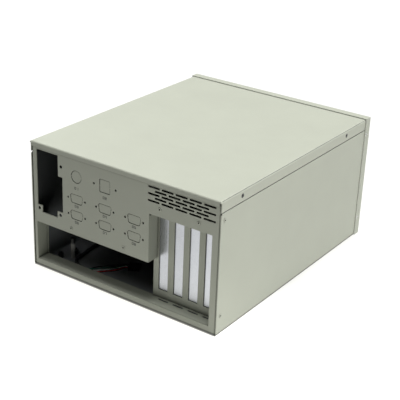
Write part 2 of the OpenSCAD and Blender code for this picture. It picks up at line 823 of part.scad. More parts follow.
module slot_cover(i) {
  mid = cover_t / 2;
  foot = sheet + tongue_gap;
  shoulder_z = sill_z + tongue_step;
  color(zinc)
    placed()
      translate([slot_x(i), 0, 0])
        difference() {
          along_x(-cover_w / 2, cover_w)
            folded([[slot_back + mid, foot], [slot_back + mid, ledge_top + mid],
              [slot_back - tab_l, ledge_top + mid]], cover_t, bend);
          both_sides()
            translate([tongue_w / 2, slot_back - 1, 0])
              cube([cover_w, 3, shoulder_z]);
          translate([slot_screw_x, slot_back - slot_screw_y, ledge_top])
            cylinder(d = slot_screw_d + 1, h = 6 * cover_t, center = true);
          translate([slot_screw_x, slot_back - slot_screw_y - slot_screw_d / 2 - 0.5,
              ledge_top - cover_t])
            cube([cover_w, slot_screw_d + 1, 3 * cover_t]);
        }
}
module slot_cover_1() { slot_cover(0); }
module slot_cover_2() { slot_cover(1); }
module slot_cover_3() { slot_cover(2); }
module slot_cover_4() { slot_cover(3); }
module slot_screws() {
  head_h = 2.4;
  reach = sheet + 2;
  color(zinc)
    placed()
      slot_screw_places()
        difference() {
          union() {
            translate([0, 0, cover_t])
              cylinder(d = slot_head_d, h = head_h);
            translate([0, 0, -reach])
              cylinder(d = slot_screw_d, h = reach + cover_t);
          }
          translate([0, 0, cover_t + head_h])
            for (a = [0, 90])
              rotate([0, 0, a])
                cube([slot_head_d * 0.6, 0.8, head_h], center = true);
        }
}

// Cover
module cover_block(inset, r, ends) {
  w = half_w - inset;
  rear = -lip_out + inset;
  low = skirt_z - ends;
  front = case_d - seam + ends;
  intersection() {
    along_y(-lip_out - 1, case_d + lip_out + 3)
      polygon(shifted(path_pairs([[-w, low], [-w, case_h - inset], [w, case_h - inset],
        [w, low]], r), 0));
    along_x(-half_w, case_w)
      polygon(concat(shifted(path_pairs([[rear, low], [rear, case_h - inset],
        [front, case_h - inset]], r), 0), [[front, low]]));
  }
}
module top_cover() {
  head_depth = 0.9;
  color(steel)
    placed()
      difference() {
        cover_block(0, bend + sheet, 0);
        cover_block(sheet, bend, 1);
        translate([-half_w + sheet, -lip_out - 1, skirt_z - 1])
          cube([case_w - 2 * sheet, sheet + 2, skirt_h - lip_h + 1]);
        both_sides()
          translate([half_w - sheet - lip_slit, -lip_out - 1, skirt_z - 1])
            cube([sheet + lip_slit + 1, lip_out + 1, skirt_h - sheet - bend + 1]);
        skirt_screw_places() {
          translate([0, 0, -fit])
            cylinder(d1 = skirt_head_d + 2 * fit, d2 = skirt_screw_d + fit, h = head_depth + fit);
          cylinder(d = skirt_screw_d + fit, h = 2 * sheet);
        }
      }
}
module cover_screws() {
  head_depth = 0.9;
  socket_d = skirt_screw_d * 0.6;
  color(black)
    placed()
      skirt_screw_places()
        difference() {
          union() {
            cylinder(d1 = skirt_head_d, d2 = skirt_screw_d, h = head_depth);
            cylinder(d = skirt_screw_d, h = 4 * sheet);
          }
          cylinder(d = socket_d, h = 1.4, center = true);
        }
}

// Rivets
module rivet(grip) {
  difference() {
    union() {
      translate([0, 0, -rivet_head_h])
        cylinder(d1 = rivet_head_d * 0.7, d2 = rivet_head_d, h = rivet_head_h);
      cylinder(d = rivet_d, h = grip);
      translate([0, 0, grip])
        cylinder(d = rivet_head_d, h = rivet_head_h);
    }
    translate([0, 0, -rivet_head_h - 1])
      cylinder(d = rivet_bore, h = rivet_head_h + 1 + grip, $fn = 24);
  }
}
module side_rivets() {
  color(steel)
    placed()
      side_rivet_places()
        rivet(2 * sheet + seam);
}
module panel_rivets() {
  color(steel)
    placed()
      panel_rivet_places()
        rivet(2 * sheet);
}

// Front wall and front panel
module flange_screw_places() {
  for (s = [0, 1], z = [flange_screw_low, front_top - flange_screw_drop])
    mirror([s, 0, 0])
      translate([front_half, case_d + flange_screw_y, z])
        rotate([0, -90, 0])
          children();
}
module fan_place(y) {
  translate([fan_x, y, fan_z])
    rotate([90, 0, 0])
      children();
}
module fan_hole_places() {
  for (x = [-1, 1], y = [-1, 1])
    translate([x * hole_side, y * hole_side, 0])
      children();
}
module switch_hole(x, d) {
  translate([x, controls_z])
    circle(d = d);
}
function switch_d(d) = d + 2 * button_gap + 2 * switch_wall;
module front_wall() {
  low = front_sheet + front_gap;
  high = case_h - front_gap;
  color(steel)
    placed()
      difference() {
        union() {
          along_y(case_d, sheet)
            difference() {
              translate([-wall_half, low])
                square([2 * wall_half, high - low]);
              translate([fan_x, fan_z]) {
                circle(r = duct_r);
                fan_hole_places()
                  circle(d = fan_screw_d + fit);
              }
              switch_hole(power_x, switch_d(power_d) + 2 * fit);
              switch_hole(reset_x, switch_d(reset_d) + 2 * fit);
              for (i = [0, 1])
                switch_hole(led_x + i * led_pitch, led_d - 1);
              translate([socket_x, socket_z])
                square(socket_side + 2, center = true);
              for (p = cage_screw_points)
                translate(p)
                  circle(d = rivet_d + fit);
            }
          along_y(case_d, panel_back - front_gap - case_d)
            difference() {
              translate([-wall_half, low])
                square([2 * wall_half, high - low]);
              translate([-wall_half + sheet, low + sheet])
                square([2 * (wall_half - sheet), high - low - 2 * sheet]);
            }
        }
        flange_screw_places()
          cylinder(d = flange_screw_d + fit, h = 12);
      }
}
module grille() {
  reach = duct_r - 1;
  for (row = [-7:7], i = [-3:3]) {
    x = (i + (abs(row) % 2) / 2) * grille_pitch;
    z = row * grille_row;
    if (norm([abs(x) + grille_l / 2, abs(z) + grille_h / 2]) < reach)
      translate([x, z])
        stadium(grille_l, grille_h);
  }
}
module front_panel() {
  edge_r = bend + front_sheet;
  front = case_d + front_d;
  color(steel)
    placed()
      difference() {
        intersection() {
          linear_extrude(front_top)
            polygon(shifted(path_pairs([[-front_half, case_d], [-front_half, front],
              [front_half, front], [front_half, case_d]], edge_r), 0));
          along_x(-front_half, 2 * front_half)
            polygon(shifted(path_pairs([[case_d, 0], [front, 0], [front, front_top],
              [case_d, front_top]], edge_r), 0));
        }
        translate([-front_half + front_sheet, case_d - 1, front_sheet])
          cube([2 * (front_half - front_sheet), panel_back - case_d + 1,
            front_top - 2 * front_sheet]);
        along_y(panel_back - 1, front_sheet + 2) {
          translate([fan_x, fan_z])
            grille();
          switch_hole(power_x, power_d + 2 * button_gap);
          switch_hole(reset_x, reset_d + 2 * button_gap);
          for (i = [0, 1])
            switch_hole(led_x + i * led_pitch, led_d + 4 * fit);
          translate([socket_x, socket_z])
            square(socket_side + 2 * fit, center = true);
        }
        flange_screw_places()
          flange_screw_space();
        socket_screw_places()
          flange_screw_space();
      }
}
module flange_screw_space() {
  translate([0, 0, -fit])
    cylinder(d1 = 2 * flange_screw_d + 2 * fit, d2 = flange_screw_d + fit, h = flange_screw_d / 2 + fit);
  cylinder(d = flange_screw_d + fit, h = 2 * front_sheet);
}
module front_panel_screws() {
  grip = front_sheet + front_gap + sheet;
  color(zinc)
    placed()
      flange_screw_places() {
        cylinder(d1 = 2 * flange_screw_d, d2 = flange_screw_d, h = flange_screw_d / 2);
        cylinder(d = flange_screw_d, h = grip + 1);
      }
}

// Fan, drawn from its front face backwards
module fan_frame() {
  spine_d = 22;
  bearing_l = fan_d - 7;
  strut_w = 4;
  color(black)
    placed()
      fan_place(case_d)
        difference() {
          union() {
            for (z = [0, fan_d - fan_flange])
              translate([0, 0, z])
                linear_extrude(fan_flange)
                  difference() {
                    rounded(box_loop(fan_size, fan_size), fan_hole_inset);
                    circle(r = duct_r);
                    fan_hole_places()
                      circle(d = fan_screw_d + fit);
                  }
            linear_extrude(fan_d)
              difference() {
                circle(d = fan_size);
                circle(r = duct_r);
              }
            translate([0, 0, fan_d - fan_flange])
              cylinder(d = hub_d, h = fan_flange);
            translate([0, 0, fan_d - bearing_l])
              cylinder(d = spine_d, h = bearing_l);
            translate([0, 0, fan_d - fan_flange + 1])
              linear_extrude(fan_flange - 1)
                intersection() {
                  circle(d = fan_size);
                  for (a = [45, 135])
                    rotate(a)
                      square([2 * fan_size, strut_w], center = true);
                }
          }
          translate([0, 0, -1])
            cylinder(d = shaft_d + 2 * shaft_fit, h = fan_d - 1);
        }
}
module fan_rotor() {
  cup_z = 2;
  cup_h = fan_d - fan_flange - 4;
  cup_wall = 2;
  tip_r = duct_r - tip_gap;
  blade_l = tip_r - hub_d / 2 + 4;
  color(black)
    placed()
      fan_place(case_d)
        union() {
          translate([0, 0, cup_z])
            difference() {
              cylinder(d = hub_d, h = cup_h);
              translate([0, 0, cup_wall])
                cylinder(d = hub_d - 2 * cup_wall, h = cup_h);
            }
          translate([0, 0, cup_z])
            cylinder(d = shaft_d, h = fan_d - cup_z - 3);
          intersection() {
            translate([0, 0, cup_z + 1])
              difference() {
                cylinder(r = tip_r, h = cup_h - 1);
                translate([0, 0, -1])
                  cylinder(d = hub_d - cup_wall, h = cup_h + 2);
              }
            for (i = [0:blades - 1])
              rotate([0, 0, i * 360 / blades])
                translate([hub_d / 2 - 3 + blade_l / 2, 0, cup_z + cup_h / 2])
                  rotate([blade_pitch, 0, 0])
                    cube([blade_l + 2, 2 * cup_h, blade_t], center = true);
          }
        }
}
module pan_screw(d, l) {
  head_h = 0.55 * d;
  difference() {
    union() {
      translate([0, 0, -head_h])
        cylinder(d = 1.8 * d, h = head_h);
      cylinder(d = d, h = l);
    }
    translate([0, 0, -head_h])
      for (a = [0, 90])
        rotate([0, 0, a])
          cube([d, 0.25 * d, head_h], center = true);
  }
}
module fan_screws() {
  color(zinc)
    placed()
      fan_place(wall_front)
        fan_hole_places()
          pan_screw(fan_screw_d, sheet + fan_flange + 3);
}
module fan_filter() {
  filter_d = 2 * duct_r + 8;
  color([0.2, 0.2, 0.21])
    placed()
      fan_place(panel_back - front_gap)
        cylinder(d = filter_d, h = panel_back - front_gap - wall_front);
}

// Buttons, switches and lights
module button_cap(x, d) {
  front = control_front;
  rear = case_d - cap_reach;
  edge = 0.5;
  placed() {
    rod_y(x, rear, controls_z, d, front - edge - rear);
    translate([x, front - edge, controls_z])
      rotate([-90, 0, 0])
        cylinder(d1 = d, d2 = d - 2 * edge, h = edge);
  }
}
module switch_body(x, d) {
  outer = switch_d(d);
  rear = case_d - switch_l;
  bore_rear = case_d - cap_reach - button_travel - cap_rest;
  shoulder = 5;
  placed() {
    difference() {
      union() {
        rod_y(x, rear, controls_z, outer, panel_back - front_gap - rear);
        rod_y(x, wall_front, controls_z, outer + shoulder, 2);
      }
      rod_y(x, bore_rear, controls_z, d + 2 * button_gap, panel_back - bore_rear);
    }
    for (s = [-1, 1])
      translate([x + s * outer / 4 - 0.4, rear - 6, controls_z - 1.4])
        cube([0.8, 6, 2.8]);
  }
}
module switch_nut(x, d) {
  outer = switch_d(d);
  across = outer + 6;
  nut_h = 3;
  placed()
    difference() {
      translate([x, case_d, controls_z])
        rotate([90, 0, 0])
          cylinder(d = across / cos(30), h = nut_h, $fn = 6);
      rod_y(x, case_d - nut_h - 1, controls_z, outer + fit, nut_h + 2);
    }
}
module power_button() {
  color([0.75, 0.12, 0.1])
    button_cap(power_x, power_d);
}
module power_switch() {
  color(black)
    switch_body(power_x, power_d);
}
module reset_button() {
  color([0.15, 0.15, 0.16])
    button_cap(reset_x, reset_d);
}
module reset_switch() {
  color(black)
    switch_body(reset_x, reset_d);
}
module switch_nuts() {
  color(zinc) {
    switch_nut(power_x, power_d);
    switch_nut(reset_x, reset_d);
  }
}
module led(x) {
  dome_y = control_front - led_d / 2;
  leg_l = 8;
  placed() {
    rod_y(x, wall_front, controls_z, led_d, dome_y - wall_front);
    rod_y(x, wall_front, controls_z, led_d + 0.8, 1);
    translate([x, dome_y, controls_z])
      sphere(d = led_d);
    for (s = [-1, 1])
      translate([x + s * 1.27 - 0.25, wall_front - leg_l, controls_z - 0.25])
        cube([0.5, leg_l, 0.5]);
  }
}
module power_led() {
  color([0.2, 0.7, 0.3])
    led(led_x);
}
module drive_led() {
  color([0.8, 0.55, 0.1])
    led(led_x + led_pitch);
}

// Double socket and its lead
module socket_screw_places() {
  for (s = [-1, 1])
    translate([socket_x + s * socket_pitch / 2, case_d + front_d, socket_z])
      rotate([90, 0, 0])
        children();
}
module usb_socket() {
  ear_t = 2.5;
  ear_h = 10;
  boss_d = 8;
  mouth_pitch = mouth_h + 1.8;
  blade = [mouth_w - 1.6, 9, 1.8];
  color(black)
    placed()
      difference() {
        union() {
          difference() {
            along_y(socket_rear, socket_l)
              translate([socket_x, socket_z])
                rounded(box_loop(socket_side, socket_side), 1);
            for (s = [-1, 1])
              translate([socket_x, control_front - mouth_d / 2 + 1, socket_z + s * mouth_pitch / 2])
                cube([mouth_w, mouth_d + 2, mouth_h], center = true);
          }
          for (s = [-1, 1])
            translate([socket_x, control_front - mouth_d + blade.y / 2,
                socket_z + s * mouth_pitch / 2 + 0.8])
              cube(blade, center = true);
          along_y(panel_back - ear_t, ear_t)
            translate([socket_x, socket_z])
              for (s = [-1, 1])
                translate([s * (socket_side / 2 + (socket_pitch + 8 - socket_side) / 4), 0])
                  square([(socket_pitch + 8 - socket_side) / 2, ear_h], center = true);
          rod_y(socket_x, lead_y, socket_z, boss_d, boss_l);
        }
        socket_screw_places()
          cylinder(d = flange_screw_d + fit, h = 12);
      }
}
module usb_socket_screws() {
  color(zinc)
    placed()
      socket_screw_places() {
        cylinder(d1 = 2 * flange_screw_d, d2 = flange_screw_d, h = flange_screw_d / 2);
        cylinder(d = flange_screw_d, h = front_sheet + 2.2);
      }
}
function spline_point(a, b, c, d, t) =
  b + (c - a) * t / 2 + (2 * a - 5 * b + 4 * c - d) * t * t / 2
  + (3 * b - a - 3 * c + d) * t * t * t / 2;
function spline(p, n) =
  let (last = len(p) - 1)
  [for (i = [0:last - 1], k = [0:n - 1])
    spline_point(p[max(i - 1, 0)], p[i], p[i + 1], p[min(i + 2, last)], k / n),
   p[last]];
function ring(p, dir, d, sides) =
  let (
    side = unit(cross(dir, [0, 0, 1])),
    up = cross(side, dir)
  )
  [for (k = [0:sides - 1])
    p + (side * cos(360 * k / sides) + up * sin(360 * k / sides)) * d / 2];
module tube(route, d, n) {
  sides = 8;
  p = spline(route, n);
  last = len(p) - 1;
  points = [for (i = [0:last])
    each ring(p[i], unit(i == 0 ? route[1] - route[0]
      : i == last ? route[len(route) - 1] - route[len(route) - 2]
      : p[i + 1] - p[i - 1]), d, sides)];
  walls = [for (i = [0:last - 1], k = [0:sides - 1])
    [i * sides + k, i * sides + (k + 1) % sides,
     (i + 1) * sides + (k + 1) % sides, (i + 1) * sides + k]];
  first_end = [for (k = [sides - 1:-1:0]) k];
  last_end = [for (k = [0:sides - 1]) last * sides + k];
  placed()
    polyhedron(points, concat([first_end, last_end], walls));
}
module usb_cable() {
  color([0.1, 0.1, 0.11])
    tube(jacket_route, jacket_d, 2);
}
module usb_wire_red() {
  color([0.7, 0.08, 0.08])
    tube(red_route, wire_d, 2);
}
module usb_wire_white() {
  color([0.85, 0.85, 0.83])
    tube(white_route, wire_d, 2);
}
module usb_wire_green() {
  color([0.15, 0.45, 0.25])
    tube(green_route, wire_d, 2);
}
module usb_wire_black() {
  color(black)
    tube(black_route, wire_d, 2);
}
module usb_plug() {
  pin_hole = 1;
  pin_pitch = norm([1, 2]);
  color(black)
    placed()
      translate([plug_end.x, plug_end.y, sheet])
        rotate([0, 0, plug_angle])
          difference() {
            translate([0, -plug_size.y / 2, 0])
              cube(plug_size);
            for (i = [-1.5:1.5])
              translate([plug_size.x, i * pin_pitch, plug_size.z / 2])
                cube([6, pin_hole, pin_hole], center = true);
          }
}

// Drive cage and power supply bracket
module drive_cage() {
  left = cage_x + sheet / 2;
  right = left + cage_w + sheet;
  floor_z = cage_z - sheet / 2;
  top = cage_z + cage_h;
  flange_h = 18;
  hole_d = 3.6;
  color(zinc)
    placed()
      difference() {
        union() {
          along_y(case_d - cage_l, cage_l - 3 * sheet)
            folded([[left, top], [left, floor_z], [right, floor_z], [right, top]], sheet, bend);
          along_x(cage_x + 4 * sheet, cage_w - 6 * sheet)
            folded([[case_d - cage_l, floor_z], [case_d - sheet / 2, floor_z],
              [case_d - sheet / 2, cage_z + flange_h]], sheet, bend);
        }
        for (p = cage_screw_points)
          rod_y(p.x, case_d - 2 * sheet, p.y, rivet_d + fit, 4 * sheet);
        for (y = [0, drive_hole_mid, drive_hole_mid + drive_hole_last])
          translate([cage_x - 1, case_d - cage_l + drive_hole_y + y, cage_z + drive_hole_z])
            rotate([0, 90, 0])
              cylinder(d = hole_d, h = cage_w + 4 * sheet);
      }
}
module drive_cage_screws() {
  color(zinc)
    placed()
      for (p = cage_screw_points)
        translate([p.x, wall_front, p.y])
          rotate([90, 0, 0])
            pan_screw(rivet_d, 2 * sheet + 2);
}
module psu_bracket() {
  wall_x = -half_w + 1.5 * sheet;
  reach = psu_mid_w + 2;
  color(zinc)
    placed()
      difference() {
        along_y(psu_shelf_y, psu_shelf_l)
          folded([[wall_x, psu_shelf_z - psu_flange_h], [wall_x, psu_shelf_z],
            [wall_x + reach, psu_shelf_z], [wall_x + reach, psu_shelf_z - psu_edge_h]], sheet, bend);
        psu_rivet_places()
          cylinder(d = rivet_d + fit, h = 8 * sheet, center = true);
      }
}
module psu_bracket_rivets() {
  color(steel)
    placed()
      psu_rivet_places()
        rivet(2 * sheet);
}

// Board standoffs and wall-mount nuts
module post(h, bore_l) {
  difference() {
    union() {
      translate([0, 0, sheet])
        linear_extrude(h)
          children();
      cylinder(d = standoff_d + 1, h = sheet);
    }
    translate([0, 0, sheet + h - bore_l])
      cylinder(d = standoff_d, h = bore_l + 1);
  }
}
module standoffs() {
  color(black)
    placed()
      standoff_places()
        post(standoff_h, standoff_h - 1)
          circle(d = standoff_w / cos(30), $fn = 6);
}
module tall_standoff() {
  color(zinc)
    placed()
      pillar_place()
        post(pillar_h, pillar_bore)
          circle(d = pillar_w);
}
module wall_mount_nuts() {
  color(zinc)
    placed()
      wall_hole_places()
        difference() {
          union() {
            cylinder(d = wall_nut_shank, h = sheet);
            translate([0, 0, sheet])
              cylinder(d = wall_nut_d, h = wall_nut_h);
          }
          translate([0, 0, -1])
            cylinder(d = wall_hole_d, h = sheet + wall_nut_h + 2);
        }
}

base_tray();
rear_panel();
slot_panel();
slot_cover_1();
slot_cover_2();
slot_cover_3();
slot_cover_4();
slot_screws();
top_cover();
cover_screws();
side_rivets();
panel_rivets();
front_wall();
front_panel();
front_panel_screws();
fan_frame();
fan_rotor();
fan_screws();
fan_filter();
power_button();
power_switch();
reset_button();
reset_switch();
switch_nuts();
power_led();
drive_led();
usb_socket();
usb_socket_screws();
usb_cable();
usb_wire_red();
usb_wire_white();
usb_wire_green();
usb_wire_black();
usb_plug();
drive_cage();
drive_cage_screws();
psu_bracket();
psu_bracket_rivets();
standoffs();
tall_standoff();
wall_mount_nuts();
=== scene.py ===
import json
import math

import bmesh
import bpy
from mathutils import Matrix, Vector


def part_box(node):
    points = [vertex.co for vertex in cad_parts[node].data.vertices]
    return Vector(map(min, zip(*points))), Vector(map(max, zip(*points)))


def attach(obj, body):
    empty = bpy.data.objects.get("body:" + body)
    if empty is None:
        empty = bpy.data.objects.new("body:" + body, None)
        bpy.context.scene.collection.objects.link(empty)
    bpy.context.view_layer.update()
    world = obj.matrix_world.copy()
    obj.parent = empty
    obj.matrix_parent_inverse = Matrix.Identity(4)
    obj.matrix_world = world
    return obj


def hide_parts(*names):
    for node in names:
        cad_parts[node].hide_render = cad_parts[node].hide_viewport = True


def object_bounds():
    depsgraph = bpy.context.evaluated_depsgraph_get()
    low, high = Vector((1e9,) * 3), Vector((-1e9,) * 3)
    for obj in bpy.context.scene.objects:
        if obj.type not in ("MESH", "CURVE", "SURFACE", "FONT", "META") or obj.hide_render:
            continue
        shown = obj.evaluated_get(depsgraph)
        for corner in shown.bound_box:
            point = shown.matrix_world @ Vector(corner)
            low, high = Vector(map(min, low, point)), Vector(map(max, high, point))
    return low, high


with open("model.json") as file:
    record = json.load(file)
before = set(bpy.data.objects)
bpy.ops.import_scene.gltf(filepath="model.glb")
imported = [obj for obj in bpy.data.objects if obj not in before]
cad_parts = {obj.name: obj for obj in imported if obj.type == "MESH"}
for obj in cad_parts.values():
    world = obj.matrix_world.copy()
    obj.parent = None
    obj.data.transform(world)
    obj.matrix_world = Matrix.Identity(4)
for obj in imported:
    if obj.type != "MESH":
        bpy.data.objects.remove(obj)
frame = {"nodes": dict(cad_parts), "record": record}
cad_low, cad_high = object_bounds()
nodes = frame["nodes"]

MM = 0.001
REAR_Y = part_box("rear_panel")[0].y


def add_object(name, data):
    """A new object in the scene, around a mesh, a light or a camera."""
    thing = bpy.data.objects.new(name, data)
    bpy.context.scene.collection.objects.link(thing)
    return thing


def add_piece(name, mesh):
    """A new piece from a finished bmesh, which is freed."""
    data = bpy.data.meshes.new(name)
    mesh.to_mesh(data)
    mesh.free()
    return add_object(name, data)


# Camera: the photograph's view, from the middle of the rear face's lower edge, angles in degrees

VIEW_AZIMUTH = 34.406
VIEW_ELEVATION = 24.494
VIEW_ROLL = 2.296
VIEW_RIGHT = 90.64 * MM
VIEW_UP = 110.20 * MM
VIEW_BACK = 1155.51 * MM
LENS_MM = 91.935
SENSOR_MM = 36.0
CLIP_NEAR = 0.05
CLIP_FAR = 50.0


def view_axes():
    """The camera's right, up and backward directions."""
    azimuth = math.radians(VIEW_AZIMUTH)
    elevation = math.radians(VIEW_ELEVATION)
    roll = math.radians(VIEW_ROLL)
    level = math.cos(elevation)
    back = Vector((math.sin(azimuth) * level, -math.cos(azimuth) * level, math.sin(elevation)))
    right = Vector((math.cos(azimuth), math.sin(azimuth), 0.0))
    up = back.cross(right)
    rolled_right = right * math.cos(roll) + up * math.sin(roll)
    rolled_up = up * math.cos(roll) - right * math.sin(roll)
    return rolled_right, rolled_up, back


def add_camera():
    right, up, back = view_axes()
    place = Vector((0.0, REAR_Y, 0.0)) + right * VIEW_RIGHT + up * VIEW_UP + back * VIEW_BACK
    data = bpy.data.cameras.new("camera")
    data.lens = LENS_MM
    data.sensor_width = SENSOR_MM
    data.clip_start = CLIP_NEAR
    data.clip_end = CLIP_FAR
    camera = add_object("camera", data)
    turn = Matrix((right, up, back)).transposed().to_4x4()
    camera.matrix_world = Matrix.Translation(place) @ turn
    bpy.context.scene.camera = camera


add_camera()


# Cords: the same routes as in the solids, in millimetres with Y from the rear face

BAY_LEFT = -125.0
SLOT_BACK = 17.7
FLOOR_TOP = 1.2
SOCKET_X = -80.0
SOCKET_Z = 40.0
LEAD_Y = 302.9
FALL_LENGTH = 93.0
NEAR_START = (25.1, 50.6)
RUN_SHIFT = 5.0
RUN_BOW = 21.0
RUN_STEPS = 8
JACKET_D = 4.6
WIRE_D = 1.4
CORD_STEPS = 6
CORD_SIDES = 12
LIE = FLOOR_TOP + JACKET_D / 2
FALL = [(0, 0, 1), (0, 9, 1), (0, 19, 0.96), (0, 31, 0.82), (0, 43, 0.6), (-0.5, 55, 0.36),
        (-1.5, 67, 0.15), (-3, 80, 0.036)]
JACKET_NEAR = [(27.1, 36.6, 2.3), (28.7, 25.6, 2.3), (29.9, 18.2, 2.3), (33.5, 11.8, 2.3),
               (39.1, 7.2, 2.3), (47.7, 4.2, 2.3), (51.7, 4.2, 2.3)]
WIRES = {
    "red": [(51.7, 3.4, 1.5), (54.7, 3.4, 1.5), (59.2, 4, 1), (63.7, 5.8, 0.7), (67.7, 8.9, 0.7),
            (73.7, 15.8, 0.7), (79.7, 23, 0.7), (84.2, 29.2, 1.2), (88.2, 35.6, 2.7),
            (92.2, 37.6, 2.7)],
    "white": [(51.7, 3.4, 3.1), (54.7, 3.4, 3.1), (58.2, 4.6, 2.8), (61.7, 7.2, 1.4), (65.2, 11.1, 0.7),
              (70.7, 17.6, 0.7), (76.7, 25.1, 0.7), (81.7, 31.6, 1.4), (87.2, 37.6, 2.7),
              (91.2, 39.6, 2.7)],
    "green": [(51.7, 5, 3.1), (54.7, 5, 3.1), (57.3, 6.4, 2.8), (59.5, 9.6, 1.6), (61.7, 13.6, 0.7),
              (66.7, 20, 0.7), (72.2, 26, 0.7), (77.7, 32, 0.8), (81.7, 36.6, 1.8),
              (86.2, 39.6, 2.7), (90.2, 41.6, 2.7)],
    "black": [(51.7, 5, 1.5), (53.7, 5, 1.5), (56.1, 6.4, 1.1), (57.1, 9.6, 0.7), (58.1, 14.6, 0.7),
              (61.7, 21.1, 0.7), (67.2, 27.6, 0.7), (73.7, 34.1, 0.8), (79.7, 39, 1.8),
              (85.2, 41.6, 2.7), (89.2, 43.6, 2.7)],
}


def fall(x, back, share):
    """A place on the stretch from the socket down to the floor."""
    return (SOCKET_X + x, LEAD_Y - back, LIE + share * (SOCKET_Z - LIE))


def run(share):
    """A place on the stretch along the floor, from its near end to its far end."""
    near_x, far_x = BAY_LEFT + NEAR_START[0], SOCKET_X - RUN_SHIFT
    near_y, far_y = SLOT_BACK + NEAR_START[1], LEAD_Y - FALL_LENGTH
    bow = RUN_BOW * share * (1 - share)
    return (near_x + share * (far_x - near_x) - bow, near_y + share * (far_y - near_y), LIE)


def near(place):
    """A place on the stretch behind the connector opening."""
    return (BAY_LEFT + place[0], SLOT_BACK + place[1], FLOOR_TOP + place[2])


def smooth(route, steps):
    """Points of the same rounded line through a route that the solids follow."""
    points = [Vector((x * MM, REAR_Y + y * MM, z * MM)) for x, y, z in route]
    last = len(points) - 1
    line = []
    for i in range(last):
        a, b = points[max(i - 1, 0)], points[i]
        c, d = points[i + 1], points[min(i + 2, last)]
        for k in range(steps):
            t = k / steps
            line.append(b + (c - a) * (t / 2) + (2 * a - 5 * b + 4 * c - d) * (t * t / 2)
                        + (3 * b - a - 3 * c + d) * (t * t * t / 2))
    line.append(points[last])
    return line


def tube(name, line, diameter):
    """A closed round tube along a line, with even rings square to it and flat ends."""
    radius = diameter * MM / 2
    mesh = bmesh.new()
    rings = []
    for i, place in enumerate(line):
        along = (line[min(i + 1, len(line) - 1)] - line[max(i - 1, 0)]).normalized()
        side = along.cross(Vector((0.0, 0.0, 1.0))).normalized()
        up = side.cross(along)
        rings.append([mesh.verts.new(place + (side * math.cos(a) + up * math.sin(a)) * radius)
                      for a in (2 * math.pi * k / CORD_SIDES for k in range(CORD_SIDES))])
    for one, two in zip(rings, rings[1:]):
        for k in range(CORD_SIDES):
            following = (k + 1) % CORD_SIDES
            wall = mesh.faces.new((one[k], one[following], two[following], two[k]))
            wall.smooth = True
    mesh.faces.new(reversed(rings[0]))
    mesh.faces.new(rings[-1])
    bmesh.ops.recalc_face_normals(mesh, faces=mesh.faces)
    return add_piece(name, mesh)


def add_cord(name, node, route, diameter):
    line = smooth(route, CORD_STEPS)
    piece = tube(name, line, diameter)
    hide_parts(node)
    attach(piece, "chassis")
    return piece


wires = {}
for colour, places in WIRES.items():
    wires[colour] = add_cord("lead_wire_" + colour, "usb_wire_" + colour,
                             [near(p) for p in places], WIRE_D)
jacket_route = [fall(*p) for p in FALL]
jacket_route += [run(k / RUN_STEPS) for k in range(RUN_STEPS, -1, -1)]
jacket_route += [near(p) for p in JACKET_NEAR]
jacket = add_cord("lead_jacket", "usb_cable", jacket_route, JACKET_D)


# Numerals printed below the knock-outs, in millimetres

KNOCK_OUT_X = (-63.3, -22.05, 19.2)
# Two numerals in the top row, each at its own height, and three in each of the two rows below
TOP_NUMERAL_Z = (115.1, 115.3)
LOW_NUMERAL_Z = (92.9, 72.7)
NUMERAL_SPOTS = list(zip(KNOCK_OUT_X, TOP_NUMERAL_Z))
NUMERAL_SPOTS += [(x, z) for z in LOW_NUMERAL_Z for x in KNOCK_OUT_X]
DIGIT_W = 2.3
DIGIT_H = 3.0
DIGIT_GAP = 0.8
STROKE = 0.55
INK = 0.03
DIGIT_STROKES = {0: "abcdef", 1: "bc", 2: "abged", 3: "abgcd", 4: "fgbc", 5: "afgcd", 6: "afgedc",
                 7: "abc", 8: "abcdefg"}
# Cells of a digit that each stroke fills, by column from the left and row from the foot
STROKE_CELLS = {
    "a": ((0, 4), (1, 4), (2, 4)),
    "b": ((2, 2), (2, 3), (2, 4)),
    "c": ((2, 0), (2, 1), (2, 2)),
    "d": ((0, 0), (1, 0), (2, 0)),
    "e": ((0, 0), (0, 1), (0, 2)),
    "f": ((0, 2), (0, 3), (0, 4)),
    "g": ((0, 2), (1, 2), (2, 2)),
}


def add_digit(mesh, digit, left, foot):
    """A flat digit of thin ink on the rear panel, as one closed solid."""
    low, high = (DIGIT_H - STROKE) / 2, (DIGIT_H + STROKE) / 2
    across = [left + x for x in (0, STROKE, DIGIT_W - STROKE, DIGIT_W)]
    upward = [foot + z for z in (0, STROKE, low, high, DIGIT_H - STROKE, DIGIT_H)]
    cells = {cell for stroke in DIGIT_STROKES[digit] for cell in STROKE_CELLS[stroke]}
    points = {}
    for column, row in sorted(cells):
        ring = []
        for i, k in ((column, row), (column + 1, row), (column + 1, row + 1), (column, row + 1)):
            if (i, k) not in points:
                points[i, k] = mesh.verts.new((across[i] * MM, REAR_Y, upward[k] * MM))
            ring.append(points[i, k])
        mesh.faces.new(ring)
    grown = bmesh.ops.extrude_face_region(mesh, geom=mesh.faces[-len(cells):], use_keep_orig=True)
    top = [item for item in grown["geom"] if isinstance(item, bmesh.types.BMVert)]
    bmesh.ops.translate(mesh, verts=top, vec=(0.0, -INK * MM, 0.0))


def add_numeral(number, x, z):
    """A number of two digits, centred across and standing at a height."""
    mesh = bmesh.new()
    for place, digit in enumerate(divmod(number, 10)):
        add_digit(mesh, digit, x - DIGIT_W - DIGIT_GAP / 2 + place * (DIGIT_W + DIGIT_GAP), z)
    bmesh.ops.recalc_face_normals(mesh, faces=mesh.faces[:])
    piece = add_piece(f"numeral_{number}", mesh)
    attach(piece, "chassis")
    return piece


numerals = [add_numeral(i + 1, x, z) for i, (x, z) in enumerate(NUMERAL_SPOTS)]


# Parts of a material

